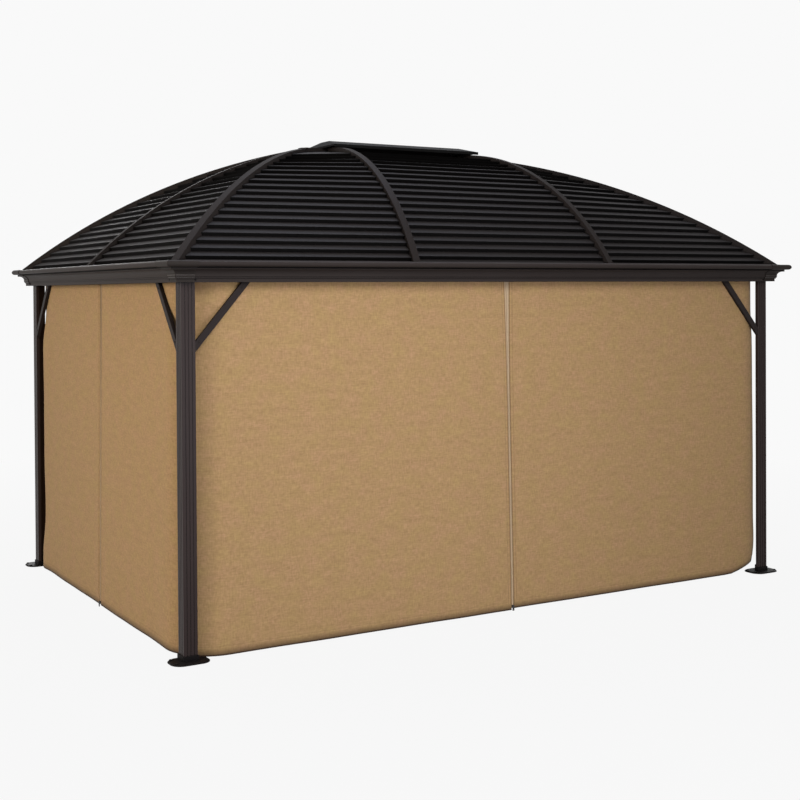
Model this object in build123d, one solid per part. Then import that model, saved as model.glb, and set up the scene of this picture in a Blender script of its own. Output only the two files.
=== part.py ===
from build123d import *
import math
import os

os.makedirs("parts", exist_ok=True)

# Metal garden gazebo with a domed hip roof, in millimetres.
# X runs along the long side, Y away from the front, Z up, with the origin on the ground at the centre.

# Plan and heights
span_x = 4040.0          # over the outer faces of the posts, long side
span_y = 2780.0          # over the outer faces of the posts, short side
eave_under = 1900.0      # underside of the eave beams
eave_top = 2010.0        # top of the eave beams, where the roof stands
ridge_rise = 760.0       # from the eave top to the top of the ribs at the ridge
roof_set_out = 50.0      # foot of the ribs outside the post faces

# Posts, an L section with grooves on the outer faces
post_leg = 74.0
post_depth = 20.0
post_wall = 3.0
groove_count = 3
groove_width = 4.5
groove_depth = 2.0

# Foot plates
plate_long = 206.0       # along the long side
plate_short = 152.0
plate_corner = 60.0
plate_thick = 8.0
plate_rim = 3.0
plate_slope = 8.0        # how far in the edge slopes up from the rim
plate_inset_x = 33.0     # centre of the plate, in from the post's outer faces
plate_inset_y = 19.0
collar_wall = 5.0
collar_height = 25.0
collar_edge = 2.0
anchor_hole = 11.0
anchor_long = 160.0      # spacing of the anchor holes
anchor_short = 84.0

# Eave beam, a crown moulding on a box, outward from the post face
beam_inside = 55.0
band_out = 36.0
band_high = 20.0
step_out = 5.0
step_high = 8.0
cove_out = 80.0
cove_high = 30.0
bead_high = 4.0
nose_out = 112.0
nose_high = 26.0
nose_under = 8.0
lip_slot = 12.0
beam_wall = 4.0
cap_leg = 54.0
cap_thick = 3.0

# Diagonal braces
brace_width = 34.0
brace_thick = 20.0
brace_drop = 350.0       # below the beam, where the outer edge meets the post
brace_reach = 375.0      # from the post's outer face to the far edge under the beam
brace_back = 1.0         # behind the outer face of the post

# Ribs: flat bars bent to an arc
rib_width = 40.0
rib_depth = 52.0
rib_proud = 20.0         # above the roof sheets
long_rib_radius = 1705.0
short_rib_radius = 2630.0
hip_radius = 4680.0
rib_foot_share = 0.3275  # long-side ribs at the eave, a share of the half length there
rib_top_share = 0.704    # and of the half length of the ridge

# Roof sheets, pressed in lapped courses
sheet_thick = 3.0
sheet_back = 4.8         # inner face of a sheet, level distance behind the outer face
sheet_down = 1.8         # and how far below it
riser_high = 17.0
riser_under = 13.0       # how far each lip overhangs the foot of its riser
smooth_course = 60.0     # no riser nearer than this below the ridge
side_first = 17.0        # along the rib from its foot to the first riser
side_pitch = 50.5
side_gain = 1.44         # how much each course is longer than the one below
middle_first = 29.0
middle_pitch = 54.8
middle_gain = 1.25

# Ridge
ridge_width = 100.0
ridge_depth = 60.0
ridge_riser_width = 60.0
cover_in = 135.0         # ends of the cover, in from the ends of the ridge beam
cover_hip = 48.0         # how far in each end slopes
cover_half_y = 225.0
cover_top_y = 57.0
cover_gap = 11.0         # open slot between the ribs and the cover
cover_high = 38.0
cover_wall = 3.0
cover_rim = 9.0

# Curtains
track_wide = 12.0
track_high = 18.0
curtain_radius = 250.0
curtain_thick = 12.0
curtain_top_inset = 24.0
curtain_foot_inset = 4.0
curtain_hem = 16.0
zip_width = 14.0
zip_tab = 40.0
zip_tab_lap = 26.0       # of the tab above the hem
zip_tab_width = 9.0
zip_tab_thick = 3.0
soft_gap = 0.3

half_x = span_x / 2
half_y = span_y / 2
run = half_y + roof_set_out
foot_x = half_x + roof_set_out
ridge_half = foot_x - run + ridge_width / 2
rib_foot_x = rib_foot_share * foot_x
rib_top_x = rib_top_share * ridge_half
CORNERS = {"front_left": (-1, -1), "front_right": (1, -1), "back_left": (-1, 1), "back_right": (1, 1)}


def save(name, solids):
    """Write one node: a single solid, or several that stand apart."""
    shape = solids[0] if len(solids) == 1 else Compound(children=list(solids))
    export_step(shape, os.path.join("parts", name + ".step"))
    print(name, len(solids), "solids")


def solid_of(shape):
    """The one solid of a finished shape."""
    found = shape.solids()
    assert len(found) == 1, f"{len(found)} solids where one is meant"
    return found[0]


def at_corner(shape, sx, sy):
    """Place a shape drawn for the corner at +X +Y on another corner."""
    placed = shape
    if sx < 0:
        placed = mirror(placed, about=Plane.YZ)
    if sy < 0:
        placed = mirror(placed, about=Plane.XZ)
    return placed


# Rib arcs
# Each arc is the outer line of a rib in its upright plane, from the eave top to the ridge.


class RibArc:
    """A circular arc that rises from the eave to the ridge over a level distance."""

    def __init__(self, length, radius):
        chord = math.hypot(length, ridge_rise)
        reach = math.sqrt(radius**2 - chord**2 / 4)
        self.length = length
        self.radius = radius
        self.centre_h = length / 2 + reach * ridge_rise / chord
        self.centre_z = eave_top + ridge_rise / 2 - reach * length / chord

    def at_height(self, z, depth):
        """Level distance from the foot where the line at a depth inside the arc reaches a height."""
        return self.centre_h - math.sqrt((self.radius - depth) ** 2 - (z - self.centre_z) ** 2)

    def at_length(self, s):
        """Height of the arc after a distance measured along it from the foot."""
        start = math.atan2(eave_top - self.centre_z, -self.centre_h)
        return self.centre_z + self.radius * math.sin(start - s / self.radius)

    def height(self, h, depth):
        """Height above a level distance of the line at a depth inside the arc."""
        return self.centre_z + math.sqrt((self.radius - depth) ** 2 - (h - self.centre_h) ** 2)


lean = math.atan2(rib_foot_x - rib_top_x, run)
long_arc = RibArc(run / math.cos(lean), long_rib_radius)
short_arc = RibArc(run, short_rib_radius)
hip_arc = RibArc(run * math.sqrt(2), hip_radius)


def rib_bar(arc):
    """A bent bar in the XZ plane, foot at the origin, running in to the middle of the ridge."""
    middle = arc.length / 2
    outer, inner = (
        ThreePointArc(
            (arc.at_height(eave_top, depth), eave_top),
            (middle, arc.height(middle, depth)),
            (arc.length, arc.height(arc.length, depth)),
        )
        for depth in (0, rib_depth)
    )
    face = make_face([outer, Line(outer @ 1, inner @ 1), inner, Line(inner @ 0, outer @ 0)])
    return extrude(Plane.XZ * face, amount=rib_width / 2, both=True)


def placed_rib(arc, foot_point, angle, stop):
    """A rib with its foot at a point of the plan, running along a plan angle up to the stop plane."""
    bar = Pos(foot_point[0], foot_point[1], 0) * Rot(0, 0, angle) * rib_bar(arc)
    return solid_of(split(bar, bisect_by=stop, keep=Keep.TOP))


# Posts

post_length = eave_under - plate_thick


def post_outline(wall):
    """The L of a post at the corner +X +Y, one wall inside its outer faces."""
    leg = wall - post_leg
    depth = wall - post_depth
    line = Polyline(
        (-wall, -wall), (leg, -wall), (leg, depth), (depth, depth), (depth, leg), (-wall, leg), close=True
    )
    return make_face(line)


def post_section():
    """The hollow L section, grooved on the outer faces."""
    section = post_outline(0) - post_outline(post_wall)
    pitch = post_leg / (groove_count + 1)
    for index in range(groove_count):
        along = -pitch * (index + 1)
        section -= Pos(along, 0) * Rectangle(groove_width, 2 * groove_depth)
        section -= Pos(0, along) * Rectangle(2 * groove_depth, groove_width)
    return section


def build_post():
    post = Pos(half_x, half_y, plate_thick) * extrude(post_section(), amount=post_length)
    return solid_of(post)


def build_plate():
    """Foot plate with a sloping edge, a sleeve round the post and an anchor hole in each corner."""
    outline = RectangleRounded(plate_long, plate_short, plate_corner)
    top = RectangleRounded(plate_long - 2 * plate_slope, plate_short - 2 * plate_slope, plate_corner - plate_slope)
    plate = extrude(outline, amount=plate_rim)
    plate += loft([Pos(0, 0, plate_rim) * outline, Pos(0, 0, plate_thick) * top], ruled=True)
    hole = Cylinder(anchor_hole / 2, plate_thick, align=(Align.CENTER, Align.CENTER, Align.MIN))
    for x in (-anchor_long / 2, anchor_long / 2):
        for y in (-anchor_short / 2, anchor_short / 2):
            plate -= Pos(x, y, 0) * hole
    sleeve = extrude(post_outline(-collar_wall), amount=collar_height)
    sleeve = chamfer(sleeve.faces().sort_by(Axis.Z)[-1].edges(), collar_edge)
    sleeve -= extrude(post_outline(0), amount=collar_height)
    foot = Pos(-plate_inset_x, -plate_inset_y, 0) * plate + Pos(0, 0, plate_thick) * sleeve
    return solid_of(Pos(half_x, half_y, 0) * foot)


# Eave beams

band_top = eave_under + band_high
cove_foot = band_top + 2 * step_high
cove_top = cove_foot + cove_high
slot_foot = cove_top + bead_high
nose_foot = slot_foot + nose_under
nose_top = nose_foot + nose_high


def eave_outline():
    """Outer line of the crown moulding, from the underside up to the nose."""
    cove_in = band_out + 2 * step_out
    lines = Polyline(
        (0, eave_under), (band_out, eave_under), (band_out, band_top),
        (band_out + step_out, band_top), (band_out + step_out, band_top + step_high),
        (cove_in, band_top + step_high), (cove_in, cove_foot),
    )
    cove = TangentArc((cove_in, cove_foot), (cove_out, cove_top), tangent=(0, 1))
    lip = Polyline(
        (cove_out, cove_top), (cove_out, slot_foot), (cove_out - lip_slot, slot_foot),
        (cove_out - lip_slot, nose_foot), (nose_out - nose_high / 2, nose_foot),
    )
    nose = ThreePointArc(
        (nose_out - nose_high / 2, nose_foot),
        (nose_out, (nose_foot + nose_top) / 2),
        (nose_out - nose_high / 2, nose_top),
    )
    return [*lines.edges(), *cove.edges(), *lip.edges(), *nose.edges()]


def beam_face():
    """Hollow section of an eave beam: moulding outside, box inside."""
    back = Polyline(
        (nose_out - nose_high / 2, nose_top), (roof_set_out, eave_top), (-beam_inside, eave_top),
        (-beam_inside, eave_under), (0, eave_under),
    )
    hollow_in = -beam_inside + beam_wall
    hollow_low = eave_under + beam_wall
    hollow_high = eave_top - beam_wall
    slot_back = cove_out - lip_slot - beam_wall
    hollow = Polyline(
        (hollow_in, hollow_low), (band_out - beam_wall, hollow_low), (band_out - beam_wall, cove_foot),
        (slot_back, nose_foot), (slot_back, nose_top), (roof_set_out - beam_wall, hollow_high),
        (hollow_in, hollow_high), close=True,
    )
    return make_face([*eave_outline(), *back.edges()]) - make_face(hollow)


def mitred_beam(near, far):
    """The beam of the face at +Y, far out from the centre, its ends mitred at the post corners."""
    outside = 2 * nose_out
    inside = 2 * beam_inside
    beam = extrude(Plane.YZ.offset(-near - outside) * beam_face(), amount=2 * (near + outside))
    wedge = Polyline(
        (near + outside, far + outside), (-near - outside, far + outside),
        (-near + inside, far - inside), (near - inside, far - inside), close=True,
    )
    return solid_of((Pos(0, far, 0) * beam) & extrude(make_face(wedge), amount=eave_top + nose_high))


def cap_outline():
    """Outer line of a corner cap, one thickness outside the moulding, bridging its slot."""
    thick = cap_thick
    cove_in = band_out + 2 * step_out
    first_step = band_top - thick
    second_step = first_step + step_high
    lines = Polyline(
        (band_out, eave_under), (band_out + thick, eave_under), (band_out + thick, first_step),
        (band_out + step_out + thick, first_step), (band_out + step_out + thick, second_step),
        (cove_in + thick, second_step), (cove_in + thick, cove_foot),
    )
    cove = TangentArc((cove_in + thick, cove_foot), (cove_out, cove_top - thick), tangent=(0, 1))
    lip = Polyline(
        (cove_out, cove_top - thick), (cove_out + thick, cove_top - thick),
        (cove_out + thick, nose_foot - thick), (nose_out - nose_high / 2, nose_foot - thick),
    )
    nose = ThreePointArc(
        (nose_out - nose_high / 2, nose_foot - thick),
        (nose_out + thick, (nose_foot + nose_top) / 2),
        (nose_out - nose_high / 2, nose_top + thick),
    )
    return [*lines.edges(), *cove.edges(), *lip.edges(), *nose.edges()]


def build_corner_cap():
    """A square-cornered cover clipped over the mitred moulding at a corner."""
    nose_back = nose_out - nose_high / 2
    closing = Polyline(
        (nose_back, nose_top + cap_thick), (nose_back, nose_top),
        (roof_set_out, nose_top), (0, nose_top), (0, eave_under), (band_out, eave_under),
    )
    skin = make_face([*cap_outline(), *closing.edges()]) - make_face(
        [
            *eave_outline()[1:-5],
            Line((cove_out, cove_top), (cove_out, nose_foot)),
            Line((cove_out, nose_foot), (nose_back, nose_foot)),
            eave_outline()[-1],
            Line((nose_back, nose_top), (0, nose_top)),
            Line((0, nose_top), (0, eave_under)),
            Line((0, eave_under), (band_out, eave_under)),
        ]
    )
    leg_x = Pos(half_x - cap_leg, half_y, 0) * extrude(Plane.YZ * skin, amount=cap_leg + nose_out + cap_thick)
    mitre = Plane(origin=(half_x, half_y, 0), z_dir=(-1, 1, 0))
    leg_x = split(leg_x, bisect_by=mitre, keep=Keep.TOP)
    leg_y = mirror(leg_x, about=mitre)
    return solid_of(leg_x + leg_y)


# Braces


def build_brace(half, plane, inward):
    """Brace from the post's inner edge up to the beam, drawn in the upright plane of its wall."""
    post_edge = half - post_leg
    slope = math.atan2(brace_drop, brace_reach - post_leg)
    cut_down = brace_width / math.cos(slope)
    cut_in = brace_width / math.sin(slope)
    outline = Polyline(
        (post_edge, eave_under - brace_drop), (half - brace_reach, eave_under),
        (half - brace_reach + cut_in, eave_under), (post_edge, eave_under - brace_drop + cut_down), close=True,
    )
    return solid_of(extrude(plane * make_face(outline), amount=inward))


# Roof sheets


def course_heights(first, pitch, gain):
    """Middle height of each riser, with the courses growing towards the ridge."""
    top = eave_top + ridge_rise - smooth_course
    heights = []
    along = first
    step = pitch
    while long_arc.at_length(along) < top:
        heights.append(long_arc.at_length(along))
        along += step
        step += gain
    return heights


def sheet_outline(arc, heights, top_h):
    """Level distance and height of each corner of a stepped sheet, outside then inside."""
    foot_h = arc.at_height(eave_top, rib_proud)
    outside = [(foot_h, eave_top)]
    for z in heights:
        low = z - riser_high / 2
        high = z + riser_high / 2
        h = arc.at_height(z, rib_proud)
        outside.append((h + riser_under, low))
        outside.append((h, high))
    top_z = arc.height(top_h, rib_proud)
    outside.append((top_h, top_z))
    inside = [(h + sheet_back, z - sheet_down) for h, z in outside]
    inside[0] = (foot_h + sheet_back, eave_top)
    inside[-1] = (top_h, top_z - sheet_thick)
    return outside + inside[::-1]


def sheet(outline_a, place_a, outline_b, place_b):
    """A sheet ruled between two upright sections."""
    sections = []
    for outline, place in ((outline_a, place_a), (outline_b, place_b)):
        points = [(*place(h), z) for h, z in outline]
        sections.append(Face(Wire(Polyline(*points, close=True).edges())))
    return solid_of(loft(sections, ruled=True))


def long_rib_side(side):
    """Plan position on one side of the +X rib of the back face, by distance along it."""
    def place(h):
        y = run - h * math.cos(lean)
        x = rib_foot_x - h * math.sin(lean) + side * rib_width / 2 / math.cos(lean)
        return (x, y)
    return place


def hip_side_long(h):
    """Plan position on the long-face side of the hip at +X +Y."""
    level = h / math.sqrt(2)
    return (foot_x - level - rib_width / math.sqrt(2), run - level)


def hip_side_short(h):
    """Plan position on the short-face side of the hip at +X +Y."""
    level = h / math.sqrt(2)
    return (foot_x - level, run - level - rib_width / math.sqrt(2))


def short_rib_side(h):
    """Plan position on the +Y side of the middle rib of the short face at +X."""
    return (foot_x - h, rib_width / 2)


long_top = long_arc.length - (ridge_width / 2) / math.cos(lean)
hip_top = hip_arc.length - ridge_width / 2 * math.sqrt(2)
short_top = short_arc.length - ridge_width / 2
side_heights = course_heights(side_first, side_pitch, side_gain)
middle_heights = course_heights(middle_first, middle_pitch, middle_gain)


def build_middle_sheet():
    """Sheet between the two ribs of the back face."""
    outline = sheet_outline(long_arc, middle_heights, long_top)
    inner_side = long_rib_side(-1)
    return sheet(outline, inner_side, outline, lambda h: (-inner_side(h)[0], inner_side(h)[1]))


def build_side_sheet():
    """Sheet of the back face between the +X rib and the hip."""
    at_rib = sheet_outline(long_arc, side_heights, long_top)
    at_hip = sheet_outline(hip_arc, side_heights, hip_top)
    return sheet(at_rib, long_rib_side(1), at_hip, hip_side_long)


def build_end_sheet():
    """Sheet of the short face at +X between its middle rib and the hip at +Y."""
    at_rib = sheet_outline(short_arc, side_heights, short_top)
    at_hip = sheet_outline(hip_arc, side_heights, hip_top)
    return sheet(at_rib, short_rib_side, at_hip, hip_side_short)


# Ridge


ridge_top = eave_top + ridge_rise
cover_base = ridge_top + cover_gap
cover_half_x = ridge_half - cover_in
cover_top_x = cover_half_x - cover_hip


def build_ridge_beam():
    """Beam under the ridge, its corners cut square to the hips, with the riser that carries the cover."""
    cut = rib_width / math.sqrt(2)
    half_width = ridge_width / 2
    plan = Polyline(
        (ridge_half, half_width - cut), (ridge_half - cut, half_width), (-ridge_half + cut, half_width),
        (-ridge_half, half_width - cut), (-ridge_half, -half_width + cut), (-ridge_half + cut, -half_width),
        (ridge_half - cut, -half_width), (ridge_half, -half_width + cut), close=True,
    )
    beam = Pos(0, 0, ridge_top - ridge_depth) * extrude(make_face(plan), amount=ridge_depth)
    riser_plan = Rectangle(2 * (cover_top_x - ridge_riser_width), ridge_riser_width)
    riser = Pos(0, 0, ridge_top) * extrude(riser_plan, amount=cover_gap + cover_high - cover_wall)
    return solid_of(beam + riser)


def build_ridge_cover():
    """Hollow hipped cover that stands over the ridge."""
    skirt = Rectangle(2 * cover_half_x, 2 * cover_half_y)
    crown = Rectangle(2 * cover_top_x, 2 * cover_top_y)
    outer = loft([Pos(0, 0, cover_base) * skirt, Pos(0, 0, cover_base + cover_high) * crown], ruled=True)
    mouth = Rectangle(2 * (cover_half_x - cover_rim), 2 * (cover_half_y - cover_rim))
    ceiling = Rectangle(2 * (cover_top_x - cover_wall), 2 * (cover_top_y - cover_wall))
    ceiling_z = cover_base + cover_high - cover_wall
    inner = loft([Pos(0, 0, cover_base) * mouth, Pos(0, 0, ceiling_z) * ceiling], ruled=True)
    return solid_of(outer - inner)


# Curtains


def curtain_band(inset, z, half_gap):
    """Plan band of one corner curtain at a height, as a face."""
    out_x = half_x - inset
    out_y = half_y - inset
    radius = curtain_radius
    with BuildSketch(Plane.XY.offset(z)) as band:
        RectangleRounded(2 * out_x, 2 * out_y, radius)
        RectangleRounded(
            2 * (out_x - curtain_thick),
            2 * (out_y - curtain_thick),
            radius - curtain_thick,
            mode=Mode.SUBTRACT,
        )
        with Locations((half_gap + out_x, half_gap + out_y)):
            Rectangle(2 * out_x, 2 * out_y, mode=Mode.INTERSECT)
    return band.sketch


curtain_head = eave_under - soft_gap
half_zip = zip_width / 2 + soft_gap


def build_curtain():
    """Corner curtain at +X +Y, hung before the track and spreading a little towards its hem."""
    head = curtain_band(curtain_top_inset, curtain_head, half_zip)
    foot = curtain_band(curtain_foot_inset, curtain_hem, half_zip)
    return solid_of(loft([foot, head], ruled=True))


def build_zips():
    """The four closed zips between the curtains, each with its pull tab below the hem."""
    zips = []
    for along_x, face in ((True, half_y), (False, half_x)):
        top = face - curtain_top_inset
        low = face - curtain_foot_inset
        outline = Polyline(
            (low, curtain_hem), (top, curtain_head), (top - curtain_thick, curtain_head),
            (low - curtain_thick, curtain_hem), close=True,
        )
        plane = Plane.YZ if along_x else Plane.XZ
        strip = extrude(plane * make_face(outline), amount=zip_width / 2, both=True)
        middle = low - curtain_thick / 2
        tab_z = curtain_hem + zip_tab_lap - zip_tab / 2
        if along_x:
            tab = Pos(0, middle, tab_z) * Box(zip_tab_width, zip_tab_thick, zip_tab)
        else:
            tab = Pos(middle, 0, tab_z) * Box(zip_tab_thick, zip_tab_width, zip_tab)
        one = strip + tab
        zips.append(solid_of(one))
        zips.append(solid_of(mirror(one, about=Plane.XZ if along_x else Plane.YZ)))
    return zips


def build_track():
    """Rail under the beams, just behind the heads of the curtains that hang from it."""
    behind = curtain_thick + soft_gap
    out_x = half_x - curtain_top_inset - behind
    out_y = half_y - curtain_top_inset - behind
    radius = curtain_radius - behind
    ring = RectangleRounded(2 * out_x, 2 * out_y, radius)
    ring -= RectangleRounded(2 * (out_x - track_wide), 2 * (out_y - track_wide), radius - track_wide)
    return solid_of(Pos(0, 0, eave_under - track_high) * extrude(ring, amount=track_high))


# Assembly
post = build_post()
plate = build_plate()
cap = build_corner_cap()
long_wall = Plane.XZ.offset(brace_back - half_y)
short_wall = Plane.YZ.offset(half_x - brace_back)
braces = [build_brace(half_x, long_wall, brace_thick), build_brace(half_y, short_wall, -brace_thick)]
beam_side = Plane(origin=(0, ridge_width / 2, 0), z_dir=(0, 1, 0))
beam_end = Plane(origin=(ridge_half, 0, 0), z_dir=(1, 0, 0))
beam_corner = Plane(origin=(ridge_half - rib_width / math.sqrt(2), ridge_width / 2, 0), z_dir=(1, 1, 0))
hip = placed_rib(hip_arc, (foot_x, run), 225, beam_corner)
side_sheet = build_side_sheet()
end_sheet = build_end_sheet()
middle_sheet = build_middle_sheet()
curtain = build_curtain()
long_beam = mitred_beam(half_x, half_y)
short_beam = Rot(0, 0, -90) * mitred_beam(half_y, half_x)
long_rib = placed_rib(long_arc, (rib_foot_x, run), 270 - math.degrees(lean), beam_side)
short_rib = placed_rib(short_arc, (foot_x, 0), 180, beam_end)

for corner, (sx, sy) in CORNERS.items():
    save("foot_plate_" + corner, [at_corner(plate, sx, sy)])
    save("post_" + corner, [at_corner(post, sx, sy)])
    save("corner_cap_" + corner, [at_corner(cap, sx, sy)])
    save("braces_" + corner, [at_corner(brace, sx, sy) for brace in braces])
    save("hip_rib_" + corner, [at_corner(hip, sx, sy)])
    save("roof_sheet_side_" + corner, [at_corner(side_sheet, sx, sy)])
    save("roof_sheet_end_" + corner, [at_corner(end_sheet, sx, sy)])
    save("curtain_" + corner, [at_corner(curtain, sx, sy)])

for name, sy in (("front", -1), ("back", 1)):
    save("eave_beam_" + name, [at_corner(long_beam, 1, sy)])
    save("roof_sheet_middle_" + name, [at_corner(middle_sheet, 1, sy)])
    save("long_ribs_" + name, [at_corner(long_rib, sx, sy) for sx in (-1, 1)])

for name, sx in (("left", -1), ("right", 1)):
    save("eave_beam_" + name, [at_corner(short_beam, sx, 1)])
    save("end_rib_" + name, [at_corner(short_rib, sx, 1)])

save("ridge_beam", [build_ridge_beam()])
save("ridge_cover", [build_ridge_cover()])
save("curtain_track", [build_track()])
save("curtain_zips", build_zips())
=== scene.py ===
# %% [markdown]
# # A metal garden gazebo with a domed roof
# The frame, the beams, the ribs and the stepped roof sheets are rigid, and their shapes come from the
# CAD model. This lesson adds what a CAD model leaves out: the cloth of the four corner curtains, the zips that
# close them, the screws and anchors, and the finish of every surface.
# Everything is in metres, in the same frame as the CAD: X along the long side, Y away from the front, Z up.

# %% Load the frame
import math
import random

import bpy
from mathutils import Matrix, Vector


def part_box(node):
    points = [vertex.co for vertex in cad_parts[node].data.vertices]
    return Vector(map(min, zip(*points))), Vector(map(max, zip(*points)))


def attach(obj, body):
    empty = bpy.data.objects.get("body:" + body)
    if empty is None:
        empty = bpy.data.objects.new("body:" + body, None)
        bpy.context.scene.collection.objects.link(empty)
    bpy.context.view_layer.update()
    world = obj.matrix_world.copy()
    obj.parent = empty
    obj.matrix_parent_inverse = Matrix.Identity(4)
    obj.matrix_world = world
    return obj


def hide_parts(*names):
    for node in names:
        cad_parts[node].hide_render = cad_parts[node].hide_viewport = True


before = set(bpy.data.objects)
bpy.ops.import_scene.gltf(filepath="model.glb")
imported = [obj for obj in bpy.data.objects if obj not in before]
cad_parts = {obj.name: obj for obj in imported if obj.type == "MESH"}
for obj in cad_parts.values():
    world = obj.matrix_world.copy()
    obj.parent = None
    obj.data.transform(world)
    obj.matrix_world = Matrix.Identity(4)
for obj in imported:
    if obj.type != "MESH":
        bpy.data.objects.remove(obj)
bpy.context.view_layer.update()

# %% [markdown]
# ## Measures
# The cloth has to sit exactly where the rigid parts leave room for it, so its measures are read from the boxes
# of the CAD nodes: the outer faces of the posts, the underside of the eave beams and the hem above the ground.
# Every corner is modelled at the back right, where X and Y are positive, and then mirrored to its own place.

# %% Measures of the frame
post_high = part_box("post_back_right")[1]
half_x = post_high.x
half_y = post_high.y
eave_under = post_high.z
curtain_low, curtain_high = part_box("curtain_back_right")
hem_z = curtain_low.z
head_z = curtain_high.z
half_gap = curtain_low.x
# How far inside the outer faces of the posts the cloth hangs, at its head and at its hem.
head_inset = 0.026
foot_inset = 0.004
corner_radius = 0.25
CORNERS = {"front_left": (-1, -1), "front_right": (1, -1), "back_left": (-1, 1), "back_right": (1, 1)}
print("half plan", half_x, half_y, "cloth from", round(hem_z, 4), "to", round(head_z, 4))

# %% [markdown]
# ## Helpers for colour and shaders
# A colour in a shader is linear light, and the colours written here are the usual sRGB hex values, so one
# function turns one into the other. A second one adds a shader node, sets it and joins it up. Written out node
# by node, each finish would be three times as long and harder to read.


# %% Colour and shader helpers
def linear(hex_colour):
    """A #RRGGBB colour as linear light, opaque."""
    parts = [int(hex_colour[i:i + 2], 16) / 255 for i in (1, 3, 5)]
    return (*(p / 12.92 if p <= 0.04045 else ((p + 0.055) / 1.055) ** 2.4 for p in parts), 1.0)


def add_node(tree, kind, settings=(), inputs=()):
    """Add one shader node, set what it says and join or set what it takes in."""
    made = tree.nodes.new("ShaderNode" + kind)
    for name, value in dict(settings).items():
        setattr(made, name, value)
    for name, value in dict(inputs).items():
        if isinstance(value, bpy.types.NodeSocket):
            tree.links.new(value, made.inputs[name])
        else:
            made.inputs[name].default_value = value
    return made


def new_material(name):
    """A material with an empty tree, its output and its Principled shader."""
    made = bpy.data.materials.new(name)
    made.use_nodes = True
    tree = made.node_tree
    tree.nodes.clear()
    shader = add_node(tree, "BsdfPrincipled")
    add_node(tree, "OutputMaterial", inputs={"Surface": shader.outputs[0]})
    return made, tree, shader


# A Mix node that mixes colours takes them at inputs 6 and 7, and gives them mixed at output 2.
COLOUR_MIX = {"data_type": "RGBA"}
MIX_A = 6
MIX_B = 7
MIX_OUT = 2
print("colour and shader helpers ready")

# %% [markdown]
# ## Helpers for modelling
# They do by code what a person does with the mouse: clear the selection, name the primitive just added, pick
# some faces by where they are, and apply a modifier. A piece is finished when its place is in its mesh and the
# frame knows what it rides on and which CAD node it stands for.


# %% Modelling helpers
def deselect_all():
    """Leave edit mode and select nothing."""
    if bpy.context.object and bpy.context.object.mode != "OBJECT":
        bpy.ops.object.mode_set(mode="OBJECT")
    bpy.ops.object.select_all(action="DESELECT")


def activate(piece):
    """Make a piece the only one selected, and the active one."""
    deselect_all()
    piece.select_set(True)
    bpy.context.view_layer.objects.active = piece


def added(name):
    """Name the primitive that was just added."""
    piece = bpy.context.object
    piece.name = name
    piece.data.name = name
    return piece


def pick(piece, mode, test):
    """In edit mode, select the faces or edges whose centre passes the test, and count them."""
    bpy.ops.mesh.select_mode(type=mode)
    bpy.ops.mesh.select_all(action="DESELECT")
    bpy.ops.object.mode_set(mode="OBJECT")
    mesh = piece.data
    count = 0
    if mode == "FACE":
        for face in mesh.polygons:
            face.select = bool(test(face.center, face.normal))
            count += face.select
    else:
        for vertex in mesh.vertices:
            vertex.select = False
        for edge in mesh.edges:
            middle = (mesh.vertices[edge.vertices[0]].co + mesh.vertices[edge.vertices[1]].co) / 2
            edge.select = bool(test(middle, None))
            count += edge.select
            if edge.select:
                for index in edge.vertices:
                    mesh.vertices[index].select = True
    bpy.ops.object.mode_set(mode="EDIT")
    return count


def apply_modifier(piece, kind, **settings):
    """Make a piece active, give it a modifier and apply it."""
    activate(piece)
    modifier = piece.modifiers.new(kind, kind)
    for name, value in settings.items():
        setattr(modifier, name, value)
    bpy.ops.object.modifier_apply(modifier=modifier.name)


def finish_piece(piece, slot, *replaced):
    """Put the place in the mesh, say what the piece rides on and hide the CAD nodes it stands for; the slot is
    not used.
    """
    activate(piece)
    bpy.ops.object.transform_apply(location=True, rotation=True, scale=True)
    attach(piece, "root")
    if replaced:
        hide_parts(*replaced)
    print(piece.name, len(piece.data.polygons), "faces")
    return piece


# %% [markdown]
# ## Camera
# The photograph was taken from 1.85 m up, a little under the eave, from the front and 30 degrees to the left.
# Its lens and place come from the lines of the eaves, posts and hem. The picture was cropped off the middle of
# the lens, which a small shift of the lens gives without tipping the posts.

# %% Camera
EYE = (-4.3544, -7.5008, 1.849)
HEADING = math.radians(30.474)
TILT = math.radians(-0.742)
ROLL = math.radians(-0.329)
FOCAL = 58.446
FILM_WIDE = 36
SHIFT = -0.1149
camera_data = bpy.data.cameras.new("camera")
camera_data.lens = FOCAL
camera_data.sensor_width = FILM_WIDE
camera_data.shift_y = SHIFT
camera = bpy.data.objects.new("camera", camera_data)
bpy.context.scene.collection.objects.link(camera)
upright = math.radians(90)
camera.matrix_world = (
    Matrix.Translation(EYE)
    @ Matrix.Rotation(-HEADING, 4, "Z")
    @ Matrix.Rotation(upright + TILT, 4, "X")
    @ Matrix.Rotation(ROLL, 4, "Z")
)
bpy.context.scene.camera = camera
print("camera at", EYE)
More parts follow.
